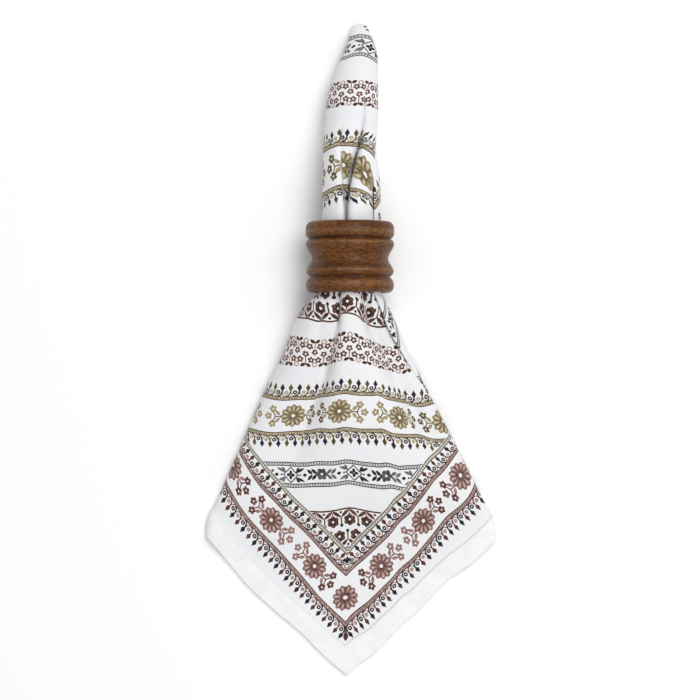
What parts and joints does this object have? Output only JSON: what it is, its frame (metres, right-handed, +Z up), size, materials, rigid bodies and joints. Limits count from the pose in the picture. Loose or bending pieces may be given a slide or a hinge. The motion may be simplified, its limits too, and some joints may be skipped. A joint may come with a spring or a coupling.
{
  "type": "napkin in a ring",
  "caption": "Square cotton napkin, folded and drawn point up through a turned wooden ring, its printed corner spread below.",
  "frame": {"origin": "on the table, under the middle of the whole object's box", "axes": "+Y along the napkin from its hanging corner to its tip, +Z up off the table, +X across it to the right as it is seen from above"},
  "size_m": [0.1523, 0.3431, 0.0457],
  "materials": {
    "printed_cotton": "plain woven cotton, cool white, printed in bands of brown, gold, grey and black flowers and leaves",
    "turned_wood": "mid-brown hardwood, turned and satin polished"
  },
  "bodies": {
    "root": {"napkin": "printed_cotton", "ring": "turned_wood"}
  },
  "joints": []
}
